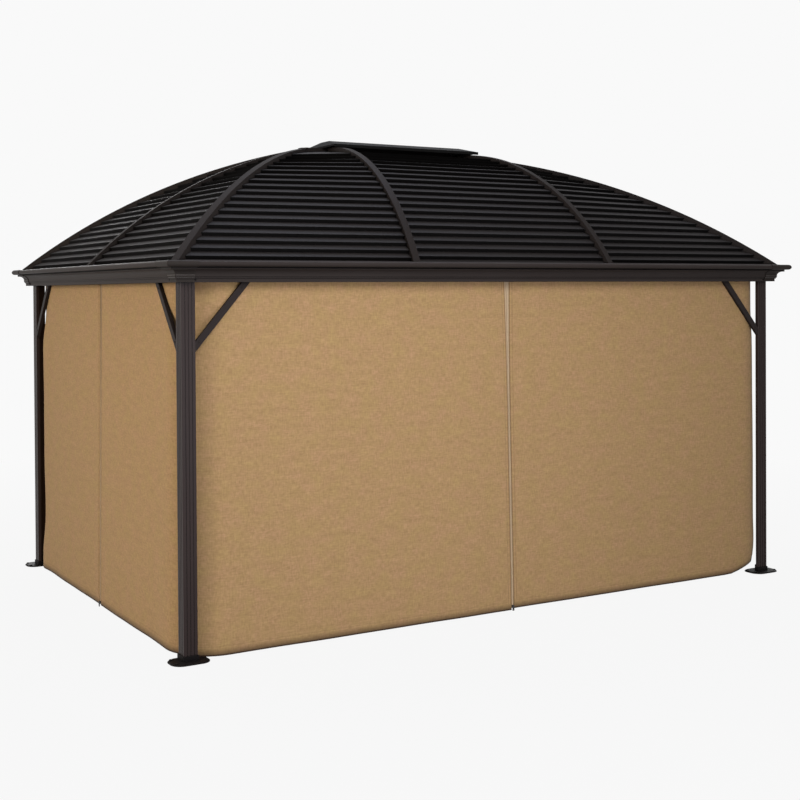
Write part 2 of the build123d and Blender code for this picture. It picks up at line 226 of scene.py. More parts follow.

# %% [markdown]
# ## Cloth of the curtains
# Each curtain is one length of canvas that hangs from the rail, turns the corner in a soft round inside the
# post, and meets its neighbours at a zip in the middle of each side. It is cut a little longer than it hangs,
# and the extra is folded up twice into the hem.
# The cloth could be simulated, but it hangs almost flat and taut, so a shaped sheet is quicker and
# closer: a grid for the long wall, spun round the corner and extruded along the short wall.
# The long, shallow ripples that give a hanging cloth away are then moved in by code.

# %% Measures of the cloth
CLOTH_STEP = 0.06
CORNER_STEPS = 10
CLOTH_THICK = 0.0016
HEM_DEEP = 0.052
PLACKET_WIDE = 0.026
FOLD_RAISED = 0.0012
placket_end = half_gap + PLACKET_WIDE
wall_end_x = half_x - corner_radius
wall_end_y = half_y - corner_radius
corner_run = corner_radius * math.pi / 2
cloth_run = (wall_end_x - half_gap) + corner_run + (wall_end_y - half_gap)
print("cloth runs", round(cloth_run, 3), "and hangs", round(head_z - hem_z, 3))

# %% [markdown]
# ### Where the cloth hangs
# A real curtain is never quite in its plane. Its zips stand a few centimetres off the middle of the walls and
# gape towards the head, it leans out to its hem, and its ripples grow on the way down.
# Each of these is a function of the place along the cloth and of the height, so that the cloth and the zips
# can both be bent by the same rule and still meet.


# %% Where a point is along the cloth
def along_cloth(x, y):
    """Distance along the cloth from the long wall's zip, and the outward direction, at a plan point."""
    x = abs(x)
    y = abs(y)
    if x <= wall_end_x:
        return x - half_gap, (0.0, 1.0)
    if y <= wall_end_y:
        return wall_end_x - half_gap + corner_run + wall_end_y - y, (1.0, 0.0)
    angle = math.atan2(x - wall_end_x, y - wall_end_y)
    return wall_end_x - half_gap + angle * corner_radius, (math.sin(angle), math.cos(angle))


# How far a zip stands off the middle of its wall at the hem, and how much more at the head.
ZIP_OFF = {"long": (-0.013, -0.018), "short": (0.028, -0.004)}
GAPE = 0.009
GAPE_FROM = 1.1


def zip_line(z, wall):
    """How far a wall's zip stands off the middle of the wall at a height: the cloth hangs a little askew."""
    at_hem, more = ZIP_OFF[wall]
    return at_hem + more * ((z - hem_z) / (head_z - hem_z))


def zip_opening(z):
    """How far each edge draws back from its zip, which gapes a little towards the head."""
    return GAPE * max(0.0, (z - GAPE_FROM) / (head_z - GAPE_FROM)) ** 2


def inset_at(z):
    """How far the cloth hangs inside the outer faces of the posts at a height."""
    hang = (head_z - z) / (head_z - hem_z)
    return head_inset + (foot_inset - head_inset) * hang


# The waves measure 0.88 and 0.46 m from crest to crest along the cloth, and 1.2 m up it.
BROAD_WAVE = 7.1
SHORT_WAVE = 13.7
LEVEL_WAVE = 5.2
RIPPLE_DEEP = 0.0014
SWAY_DEEP = 0.0011
STILL_BY_ZIP = 0.35


def ripple(run, z, phases):
    """How far the cloth stands out of its plane: long waves that die out at the rail and the zips."""
    hang = (head_z - z) / (head_z - hem_z)
    off_zip = min(1.0, min(run, cloth_run - run) / STILL_BY_ZIP)
    broad = math.sin(run * BROAD_WAVE + phases[0] + 0.9 * hang)
    short = math.sin(run * SHORT_WAVE + phases[1] - 1.6 * hang)
    level = math.sin(z * LEVEL_WAVE + phases[2] + run * 0.8)
    return off_zip * (RIPPLE_DEEP * (broad + 0.6 * short) * (0.25 + hang) + SWAY_DEEP * level * hang)


print("the long wall's zip stands off by", zip_line(hem_z, "long"), "at the hem")

# %% [markdown]
# ### A UV map in metres
# Woven cloth has a direction, so its pattern can't be drawn from the object's coordinates alone: it would slide
# through the cloth at the corner. A UV map in metres goes on while the cloth is still straight, so that the
# weave, the slubs and the stitches follow the cloth round the corner and lean with it.


# %% A UV map in metres
def lay_uv(cloth):
    """Two UV maps in metres: along the cloth and up from the hem, and in from the nearest zip."""
    layer = cloth.data.uv_layers.new(name="cloth_metres")
    edges = cloth.data.uv_layers.new(name="cloth_edges")
    for loop in cloth.data.loops:
        place = cloth.data.vertices[loop.vertex_index].co
        run, _ = along_cloth(place.x, place.y)
        layer.data[loop.index].uv = (run, place.z - hem_z)
    for polygon in cloth.data.polygons:
        for index in polygon.loop_indices:
            run, up = layer.data[index].uv
            edges.data[index].uv = (max(0.0, min(run, cloth_run - run)), up)


# %% [markdown]
# ### The straight sheet
# The canvas starts as flat as it was cut. Its long wall is a grid with cells of 60 mm, enough for its shallow
# waves. A spin of its end edge makes the round corner, and an extrude in steps makes the short wall.
# Bisects add the lines where the hem and the folded edges end, so that these can be raised on their own.


# %% One corner curtain
# Points closer than this are merged where the grid, the corner and the short wall meet.
MERGE_WITHIN = 0.0004


def make_curtain(corner):
    """Model the straight cloth of one corner."""
    deselect_all()
    straight = wall_end_x - half_gap
    tall = head_z - hem_z
    columns = round(straight / CLOTH_STEP)
    rows = round(tall / CLOTH_STEP)
    bpy.ops.mesh.primitive_grid_add(x_subdivisions=columns, y_subdivisions=rows, size=1)
    cloth = added("curtain_cloth_" + corner)
    bpy.ops.object.mode_set(mode="EDIT")
    bpy.ops.transform.resize(value=(straight, tall, 1))
    bpy.ops.object.mode_set(mode="OBJECT")
    middle = (half_gap + straight / 2, half_y, hem_z + tall / 2)
    cloth.data.transform(Matrix.Translation(middle) @ Matrix.Rotation(upright, 4, "X"))
    bpy.ops.object.mode_set(mode="EDIT")
    pick(cloth, "EDGE", lambda c, n: c.x > wall_end_x - MERGE_WITHIN)
    bpy.ops.mesh.spin(
        steps=CORNER_STEPS,
        angle=math.pi / 2,
        center=(wall_end_x, wall_end_y, 0),
        axis=(0, 0, 1),
        dupli=False,
    )
    side_steps = round((wall_end_y - half_gap) / CLOTH_STEP)
    for step in range(side_steps):
        bpy.ops.mesh.extrude_region_move(
            TRANSFORM_OT_translate={"value": (0, -(wall_end_y - half_gap) / side_steps, 0)}
        )
    for point, normal in (
        ((0, 0, hem_z + HEM_DEEP), (0, 0, 1)),
        ((placket_end, 0, 0), (1, 0, 0)),
        ((0, placket_end, 0), (0, 1, 0)),
    ):
        bpy.ops.mesh.select_all(action="SELECT")
        bpy.ops.mesh.bisect(plane_co=point, plane_no=normal)
    bpy.ops.mesh.select_all(action="SELECT")
    bpy.ops.mesh.remove_doubles(threshold=MERGE_WITHIN)
    bpy.ops.object.mode_set(mode="OBJECT")
    return cloth


# %% [markdown]
# ## Hem, placket and thickness
# A hem is the cloth folded up and sewn down, so the hem band is three layers thick and stands out a little.
# The edges beside the zips are folded the same way. They could be modelled as real folds, but only the step
# shows, so both are raised with an extrude along the normals before the whole sheet is given its thickness.


# %% Fold the edges and give the cloth its thickness
def fold_edges(cloth):
    """Raise the hem band and the folded edges beside the zips."""
    activate(cloth)
    bpy.ops.object.mode_set(mode="EDIT")
    count = pick(
        cloth,
        "FACE",
        lambda c, n: c.z < hem_z + HEM_DEEP or abs(c.x) < placket_end or abs(c.y) < placket_end,
    )
    bpy.ops.mesh.extrude_region_shrink_fatten(
        TRANSFORM_OT_shrink_fatten={"value": FOLD_RAISED, "use_even_offset": True}
    )
    bpy.ops.object.mode_set(mode="OBJECT")
    return count


# %% [markdown]
# ## How each curtain hangs
# No two curtains hang alike. Round each post the cloth falls in slack waves down its height, one hem is a
# little lower than the next, and the hem of the front right curtain is caught up where it turns the corner.
# A table of a few measures for each curtain is easy to change, and keeps all four in one style.

# %% How each curtain hangs
# The height, and how far the slack cloth stands out of its round there.
CORNER_FALL = (
    (0.0, 0.012), (0.12, 0.010), (0.35, -0.007), (0.8, 0.005),
    (1.1, 0.008), (1.5, 0.018), (1.72, -0.006), (1.9, 0.0),
)
corner_middle = wall_end_x - half_gap + corner_run / 2
# The share of that fall, the push out at the corner, the drop of the hem and its lift at the corner.
HANGS = {
    "front_left": (0.3, 0.0, 0.009, 0.0),
    "front_right": (0.25, 0.030, 0.0, 0.055),
    "back_left": (1.0, 0.0, 0.004, 0.0),
    "back_right": (0.6, 0.015, 0.003, 0.0),
}


def eased(table, z):
    """A smooth value between the heights of a table."""
    for (z0, v0), (z1, v1) in zip(table, table[1:]):
        if z <= z1:
            t = max(0.0, (z - z0) / (z1 - z0))
            return v0 + (v1 - v0) * t * t * (3 - 2 * t)
    return table[-1][1]


def near_corner(run, reach):
    """1 in the middle of the corner, and 0 from a reach away on."""
    t = min(1.0, abs(run - corner_middle) / reach)
    return (1 - t * t) ** 2


print("the middle of the corner is", round(corner_middle, 3), "along the cloth")

# %% [markdown]
# ### Hang the cloth
# The straight sheet is moved point by point, as a sculptor would push it: out to its hem, in and out with its
# ripples, down where the hem drops and up where it is caught. A mirror then turns it to its own corner.
# The outside of the cloth has to face out, so its normals are flipped where the mirror turned them in.

# %% Hang the cloth
# How far along the cloth, or up it, each of these dies out.
FALL_REACH = 0.34
PUSH_REACH = 0.2
LIFT_REACH = 0.32
LIFT_PAST = 0.03
LIFT_HIGH = 0.24
DROP_HIGH = 0.4
ASKEW_REACH = 0.8
# The caught hem draws in by this share of its lift, and a short wall drops by this share of the long one.
CAUGHT_IN = 0.35
SHORT_DROP = 0.45


def shape_cloth(cloth, corner, sx, sy):
    """Lean the cloth out towards its hem, move its ripples in, and turn it to its own corner."""
    fall, push, drop, lift = HANGS[corner]
    chance = random.Random("cloth " + corner)
    phases = [chance.uniform(0, math.tau) for _ in range(3)]
    for vertex in cloth.data.vertices:
        z = vertex.co.z
        run, outward = along_cloth(vertex.co.x, vertex.co.y)
        out = ripple(run, z, phases) - inset_at(z)
        out += near_corner(run, FALL_REACH) * fall * eased(CORNER_FALL, z) + near_corner(run, PUSH_REACH) * push
        by_hem = max(0.0, 1 - (z - hem_z) / LIFT_HIGH) ** 1.5
        caught = lift * near_corner(run - LIFT_PAST, LIFT_REACH) * by_hem
        out -= CAUGHT_IN * caught
        low = max(0.0, 1 - (z - hem_z) / DROP_HIGH)
        along = 1.0 if run < corner_middle else SHORT_DROP
        vertex.co.z += caught - drop * along * low
        by_long_zip = max(0.0, 1 - run / ASKEW_REACH)
        by_short_zip = max(0.0, 1 - (cloth_run - run) / ASKEW_REACH)
        askew_x = by_long_zip * (zip_line(z, "long") * sx + zip_opening(z))
        askew_y = by_short_zip * (zip_opening(z) - zip_line(z, "short") * sy)
        vertex.co.x += out * outward[0] + askew_x
        vertex.co.y += out * outward[1] + askew_y
    activate(cloth)
    bpy.ops.object.mode_set(mode="EDIT")
    bpy.ops.mesh.select_all(action="SELECT")
    bpy.ops.transform.resize(value=(sx, sy, 1), center_override=(0, 0, 0))
    bpy.ops.object.mode_set(mode="OBJECT")
    middle = cloth.data.polygons[0]
    facing_out = middle.normal.x * middle.center.x + middle.normal.y * middle.center.y > 0
    if not facing_out:
        bpy.ops.object.mode_set(mode="EDIT")
        bpy.ops.mesh.select_all(action="SELECT")
        bpy.ops.mesh.flip_normals()
        bpy.ops.object.mode_set(mode="OBJECT")


# %% [markdown]
# ### Four curtains
# Each corner gets a sheet of its own rather than a copy, because each hangs in its own way. The fold and the
# thickness go on while the sheet is straight, so both stay even, and the bending comes last.

# %% Four curtains
curtains = {}
for corner, (sx, sy) in CORNERS.items():
    cloth = make_curtain(corner)
    raised = fold_edges(cloth)
    apply_modifier(cloth, "SOLIDIFY", thickness=CLOTH_THICK, offset=-1.0, use_even_offset=True)
    lay_uv(cloth)
    shape_cloth(cloth, corner, sx, sy)
    bpy.ops.object.shade_smooth_by_angle(angle=math.radians(50))
    curtains[corner] = finish_piece(cloth, "curtain_fabric", "curtain_" + corner)
    print(corner, "raised faces", raised)

# %% [markdown]
# ## Zips
# A zip closes the gap between two curtains in the middle of each side. It has two woven tapes, a row of
# moulded teeth, and a slider with a pull, which hangs at the hem when the zip is closed.
# One zip is modelled upright at the origin: a tape that is cut into short lengths so that it can lean, one pair
# of teeth that an Array modifier repeats, and the slider. Four copies are then laid on the four walls by code.

# %% Measures of a zip
TAPE_WIDE = 0.044
TAPE_THICK = 0.0012
TAPE_BEHIND = 0.0036
TAPE_LENGTHS = 24
TOOTH_WIDE = 0.0058
TOOTH_HIGH = 0.0019
TOOTH_DEEP = 0.0026
TOOTH_PITCH = 0.0032
TOOTH_ASIDE = 0.0013
TOOTH_BEHIND = 0.0012
SLIDER_FOOT = 0.019
zip_foot = hem_z + 0.004
zip_head = head_z
zip_tall = zip_head - zip_foot
print("a zip is", round(zip_tall, 3), "long")

# %% [markdown]
# ### Boxes for small parts
# Sliders, hooks and strips are small blocks whose edges were rounded by a mould or a fold. Seen from a few
# metres, a cube with a bevel has all that shows, and it costs few faces. Small parts that belong together are
# joined, so that each is one piece.


# %% A box with bevelled edges, and the joining of parts
def bevelled_box(name, centre, size, bevel, segments=1):
    """Add a cube, give it its size in edit mode and round its edges."""
    deselect_all()
    bpy.ops.mesh.primitive_cube_add(size=1, location=centre)
    piece = added(name)
    bpy.ops.object.mode_set(mode="EDIT")
    bpy.ops.transform.resize(value=size)
    if bevel:
        bpy.ops.mesh.select_all(action="SELECT")
        bpy.ops.mesh.bevel(offset=bevel, segments=segments, affect="EDGES")
    bpy.ops.object.mode_set(mode="OBJECT")
    bpy.ops.object.transform_apply(location=True, rotation=True, scale=True)
    return piece


def joined(name, pieces):
    """Join pieces into one, which keeps each face's material."""
    deselect_all()
    for piece in pieces:
        piece.select_set(True)
    bpy.context.view_layer.objects.active = pieces[0]
    bpy.ops.object.join()
    return added(name)


# %% [markdown]
# ### Finishes of the zip
# The tape is woven and dyed to go with the canvas, the teeth are moulded plastic in the same tone, and the
# slider is a zinc casting, painted black. All three are even in colour, so they share one small recipe: a
# drift between two close tones, and a fine bump that breaks up the highlights.


# %% Finishes of the zip
def plain_finish(name, dark, light, rough, grain):
    """A material with a small drift of tone and a fine bump."""
    made, tree, shader = new_material(name)
    place = add_node(tree, "TexCoord").outputs["Object"]
    drift = add_node(tree, "TexNoise", inputs={"Vector": place, "Scale": grain, "Detail": 3.0})
    tone = add_node(
        tree, "Mix", COLOUR_MIX,
        {0: drift.outputs["Fac"], MIX_A: linear(dark), MIX_B: linear(light)},
    )
    bump = add_node(
        tree, "Bump", inputs={"Strength": 0.2, "Distance": 0.0003, "Height": drift.outputs["Fac"]}
    )
    tree.links.new(tone.outputs[MIX_OUT], shader.inputs["Base Color"])
    tree.links.new(bump.outputs[0], shader.inputs["Normal"])
    shader.inputs["Roughness"].default_value = rough
    return made


# Woven polyester is dull and soft; its 1 mm ribs are drawn at 4 mm so that they show.
tape_cloth = plain_finish("woven_zip_tape", "#B39878", "#CDB596", 0.85, 260.0)
# Moulded teeth are a shade lighter than the canvas, so the zip reads as one fine pale line.
tooth_resin = plain_finish("moulded_acetal_teeth", "#BFA585", "#D3BC9C", 0.75, 120.0)
# Black paint on a casting gives the slider a soft gloss, and makes it the darkest spot at the hem.
slider_paint = plain_finish("black_painted_zinc", "#0E0D0D", "#1A1918", 0.45, 300.0)
print("finishes of the zip made")

# %% [markdown]
# ### Tape and teeth
# The tape is one long thin box, cut across 23 times so that it can bend with the cloth. The teeth of the two
# sides stand opposite each other half a pitch apart. One pair is modelled, with the small pit that its mould
# leaves on the face, and an Array modifier repeats it up the tape.

# %% Tape and teeth
tape = bevelled_box(
    "zip_tape", (0, -TAPE_BEHIND, (zip_foot + zip_head) / 2), (TAPE_WIDE, TAPE_THICK, zip_tall), 0
)
activate(tape)
bpy.ops.object.mode_set(mode="EDIT")
for step in range(1, TAPE_LENGTHS):
    bpy.ops.mesh.select_all(action="SELECT")
    bpy.ops.mesh.bisect(plane_co=(0, 0, zip_foot + zip_tall * step / TAPE_LENGTHS), plane_no=(0, 0, 1))
bpy.ops.object.mode_set(mode="OBJECT")
tape.data.materials.append(tape_cloth)
tooth_place = (TOOTH_ASIDE, -TOOTH_BEHIND, zip_foot + TOOTH_PITCH / 2)
teeth = bevelled_box("zip_teeth", tooth_place, (TOOTH_WIDE, TOOTH_DEEP, TOOTH_HIGH), 0)
activate(teeth)
bpy.ops.object.mode_set(mode="EDIT")
pick(teeth, "FACE", lambda c, n: n.y > 0.5)
bpy.ops.mesh.inset(thickness=0.0005, depth=0.0004)
bpy.ops.object.mode_set(mode="OBJECT")
other = teeth.copy()
other.data = teeth.data.copy()
bpy.context.scene.collection.objects.link(other)
other.data.transform(Matrix.Translation((-2 * TOOTH_ASIDE, 0, TOOTH_PITCH / 2)))
teeth = joined("zip_teeth", [teeth, other])
pairs = int(zip_tall / TOOTH_PITCH) - 1
apply_modifier(
    teeth, "ARRAY", count=pairs, use_relative_offset=False, use_constant_offset=True,
    constant_offset_displace=(0, 0, TOOTH_PITCH),
)
teeth.data.materials.append(tooth_resin)
print("teeth", 2 * pairs)

# %% [markdown]
# ### Slider and pull
# The slider is a small casting that runs over the teeth, with a neck that carries the pull. The pull hangs
# below it, and both of its faces are sunk a little to give the fingers a grip. Three bevelled boxes and one
# inset are enough at this size.

# %% Slider and pull
slider_middle = SLIDER_FOOT + 0.009
body = bevelled_box("zip_slider", (0, 0.0008, slider_middle), (0.016, 0.0085, 0.017), 0.002, 2)
neck = bevelled_box("zip_neck", (0, 0.0052, slider_middle), (0.0035, 0.004, 0.009), 0.001)
pull = bevelled_box("zip_pull", (0, 0.0072, SLIDER_FOOT + 0.0005), (0.0135, 0.0038, 0.031), 0.0012)
activate(pull)
bpy.ops.object.mode_set(mode="EDIT")
pick(pull, "FACE", lambda c, n: abs(n.y) > 0.9)
bpy.ops.mesh.inset(thickness=0.002, depth=-0.0006)
bpy.ops.object.mode_set(mode="OBJECT")
for piece in (body, neck, pull):
    piece.data.materials.append(slider_paint)
zip_model = joined("zip_model", [tape, teeth, body, neck, pull])
print("one zip", len(zip_model.data.polygons), "faces")

# %% [markdown]
# ### Lay a zip on each wall
# A zip is sewn to the cloth, so it has to lean and stand off the middle of its wall exactly as the cloth does.
# Each copy has its own mesh, whose points are moved by the same functions that shaped the curtains.

# %% Lay a zip on each wall
WALLS = {"front": ("long", -1), "back": ("long", 1), "left": ("short", -1), "right": ("short", 1)}
for wall, (kind, side) in WALLS.items():
    one = zip_model.copy()
    one.data = zip_model.data.copy()
    bpy.context.scene.collection.objects.link(one)
    one.name = one.data.name = "curtain_zip_" + wall
    for vertex in one.data.vertices:
        across, out, z = vertex.co
        off = zip_line(z, kind)
        if kind == "long":
            vertex.co = (off - side * across, side * (half_y - inset_at(z) + out), z)
        else:
            vertex.co = (side * (half_x - inset_at(z) + out), side * across - off, z)
    activate(one)
    bpy.ops.object.shade_smooth_by_angle(angle=math.radians(35))
    finish_piece(one, "zip_plastic", "curtain_zips")
bpy.data.objects.remove(zip_model)

# %% [markdown]
# ## Gliders
# The cloth hangs from small nylon gliders that run in the rail. They sit behind the head of the cloth, where
# only someone inside looks, so one glider is a bevelled block with a hook and the rest are copies.


# %% Gliders along the rail
def laid_out(model, name, matrices):
    """Copies of a small part, one for each place, joined into one piece."""
    made = []
    for matrix in matrices:
        one = model.copy()
        one.data = model.data.copy()
        one.data.transform(matrix)
        bpy.context.scene.collection.objects.link(one)
        made.append(one)
    bpy.data.objects.remove(model)
    return joined(name, made)


GLIDER_EVERY = 0.16
RAIL_MIDDLE = 0.006
rail_low, rail_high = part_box("curtain_track")
block = bevelled_box("curtain_gliders", (0, 0, rail_low.z - 0.004), (0.012, 0.008, 0.0085), 0.0015)
hook = bevelled_box("glider_hook", (0, 0.0085, rail_low.z - 0.012), (0.004, 0.0105, 0.012), 0.001)
glider = joined("curtain_gliders", [block, hook])
steps_x = int(2 * wall_end_x / GLIDER_EVERY)
steps_y = int(2 * wall_end_y / GLIDER_EVERY)
places = []
for step in range(steps_x + 1):
    x = -wall_end_x + 2 * wall_end_x * step / steps_x
    places += [(x, rail_high.y - RAIL_MIDDLE, 0.0), (x, rail_low.y + RAIL_MIDDLE, math.pi)]
for step in range(steps_y + 1):
    y = -wall_end_y + 2 * wall_end_y * step / steps_y
    places += [(rail_high.x - RAIL_MIDDLE, y, -math.pi / 2), (rail_low.x + RAIL_MIDDLE, y, math.pi / 2)]
turned = [Matrix.Translation((x, y, 0)) @ Matrix.Rotation(turn, 4, "Z") for x, y, turn in places]
gliders = laid_out(glider, "curtain_gliders", turned)
# Nylon is moulded smooth, dyed through and faintly waxy; dark, so that it goes unseen beside the rail.
gliders.data.materials.append(plain_finish("moulded_nylon", "#2B2724", "#3A3531", 0.5, 150.0))
finish_piece(gliders, "track_metal")
print("gliders", len(places))

# %% [markdown]
# ## Screws and anchors
# Self-tapping screws with a wide pan head hold the corner caps and the ends of the braces, and hexagon bolts
# with washers hold the foot plates to the ground. They could be bought parts with a full thread, but only the
# heads show. A head is a cylinder whose top is bevelled, inset and sunk for the driver, modelled once and
# copied to its places.


# %% A screw head and an anchor bolt
def screw_head(name, radius, height, sides):
    """A round or hexagon head that stands on Z 0, with a rounded rim."""
    deselect_all()
    bpy.ops.mesh.primitive_cylinder_add(
        vertices=sides, radius=radius, depth=height, location=(0, 0, height / 2)
    )
    head = added(name)
    bpy.ops.object.transform_apply(location=True, rotation=False, scale=False)
    bpy.ops.object.mode_set(mode="EDIT")
    pick(head, "FACE", lambda c, n: n.z > 0.9)
    bpy.ops.mesh.bevel(offset=height * 0.35, segments=2, affect="EDGES")
    pick(head, "FACE", lambda c, n: n.z > 0.99)
    bpy.ops.mesh.inset(thickness=radius * 0.45, depth=0)
    bpy.ops.mesh.inset(thickness=radius * 0.02, depth=-height * 0.4)
    bpy.ops.object.mode_set(mode="OBJECT")
    return head


def copies_of(model, name, matrices, slot, finish):
    """A small round part at all its places, with its finish and smooth sides."""
    piece = laid_out(model, name, matrices)
    piece.data.materials.append(finish)
    activate(piece)
    bpy.ops.object.shade_smooth_by_angle(angle=math.radians(40))
    finish_piece(piece, slot)
    print(name, len(matrices))


def facing(point, direction):
    """A matrix that puts a head at a point, looking along a direction."""
    return Matrix.Translation(point) @ Vector(direction).to_track_quat("Z", "Y").to_matrix().to_4x4()


# %% [markdown]
# ### Places of the screws
# The cap screws sit in the lowest band of the moulding, beside the post. Each brace has one screw near its foot
# and one near its head, and stands 1 mm behind the face of the post. All corners are alike, so one corner is
# measured and mirrored.

# %% Places of the screws
BAND_OUT = 0.036
BAND_UP = 0.012
CAP_SCREW_IN = 0.0635
BRACE_BEHIND = 0.001
# In from the outer face of the post, and down from the eave.
BRACE_SCREW_PLACES = ((0.095, 0.300), (0.3285, 0.028))
band_z = eave_under + BAND_UP
cap_screws = []
brace_screws = []
for sx, sy in CORNERS.values():
    cap_screws.append(facing((sx * (half_x - CAP_SCREW_IN), sy * (half_y + BAND_OUT), band_z), (0, sy, 0)))
    cap_screws.append(facing((sx * (half_x + BAND_OUT), sy * (half_y - CAP_SCREW_IN), band_z), (sx, 0, 0)))
    for inward, down in BRACE_SCREW_PLACES:
        z = eave_under - down
        brace_screws.append(facing((sx * (half_x - inward), sy * (half_y - BRACE_BEHIND), z), (0, sy, 0)))
        brace_screws.append(facing((sx * (half_x - BRACE_BEHIND), sy * (half_y - inward), z), (sx, 0, 0)))
print("screw places", len(cap_screws) + len(brace_screws))

# %% [markdown]
# ## Reeds on the corner caps
# Each corner casting has two thin reeds that catch the light above the post, like the capital of a column.
# They could be cut into the casting, but they stand proud of it, so bevelled bars are laid along both sides of
# the corner, long enough to cross there.

# %% Reeds round the corner caps
CAP_LEG = 0.054
REED_DEEP = 0.005
REED_THICK = 0.0026
REED_BEVEL = 0.0008
# How far each reed stands out from the post, and up from the eave.
REED_PLACES = ((0.0465, 0.0243), (0.0515, 0.0355))
reeds = []
for sx, sy in CORNERS.values():
    for out, up in REED_PLACES:
        run = out + CAP_LEG
        far_x = half_x + out
        far_y = half_y + out
        level = eave_under + up
        place = (sx * (far_x - run / 2), sy * (far_y - REED_DEEP / 2), level)
        reeds.append(bevelled_box("reed", place, (run, REED_DEEP, REED_THICK), REED_BEVEL))
        place = (sx * (far_x - REED_DEEP / 2), sy * (far_y - run / 2), level)
        reeds.append(bevelled_box("reed", place, (REED_DEEP, run, REED_THICK), REED_BEVEL))
cap_reeds = joined("corner_cap_reeds", reeds)
finish_piece(cap_reeds, "frame_metal")

# %% [markdown]
# ## The folded lip of the ridge cover
# The ridge cover is a folded sheet whose rim turns down, so that rain drips clear of the slot. The rim is four
# thin strips, simpler than a fold of the CAD cover, which has to stay as it is. The long strips hang lower, and
# the short ones stop above the ridge beam.
# Its near-black coat is painted shade, so that the rim reads as the dark line under the lid.

# %% The lip of the ridge cover
cover_low, cover_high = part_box("ridge_cover")
LIP_THICK = 0.002
LIP_BEVEL = 0.0004
LIP_LAP = 0.0015
LONG_LIP_DEEP = 0.0185
SHORT_LIP_DEEP = 0.0118
lip_top = cover_low.z + LIP_LAP
strips = []
for side in (-1, 1):
    place = (0, side * (cover_high.y - LIP_THICK / 2), lip_top - LONG_LIP_DEEP / 2)
    strips.append(bevelled_box("lip", place, (2 * cover_high.x, LIP_THICK, LONG_LIP_DEEP), LIP_BEVEL))
    place = (side * (cover_high.x - LIP_THICK / 2), 0, lip_top - SHORT_LIP_DEEP / 2)
    strips.append(bevelled_box("lip", place, (LIP_THICK, 2 * cover_high.y, SHORT_LIP_DEEP), LIP_BEVEL))
cover_lip = joined("ridge_cover_lip", strips)
finish_piece(cover_lip, "roof_metal")

# %% [markdown]
# ## Finishes of the metal
# The frame is extruded and folded aluminium with a powder coat: plastic powder, melted on in an oven. It gives
# a low gloss with a fine orange peel, and it is thinnest on sharp edges, where it rubs first.
# The roof sheets are steel that was painted as a coil before it was pressed, so they are smoother and cooler.
# A bevelled normal at the edges gives the small highlights that a real bend of 1 mm radius has, without a
# change to the CAD meshes. One recipe with a few dials makes all the coats, because they differ only in tone,
# gloss and wear. The recipe also paints light and shade into the colour: painted shade in slots and where parts
# meet, lighter edges that are partly a painted highlight, and on the roof dark steps under grey sky-facing
# faces.


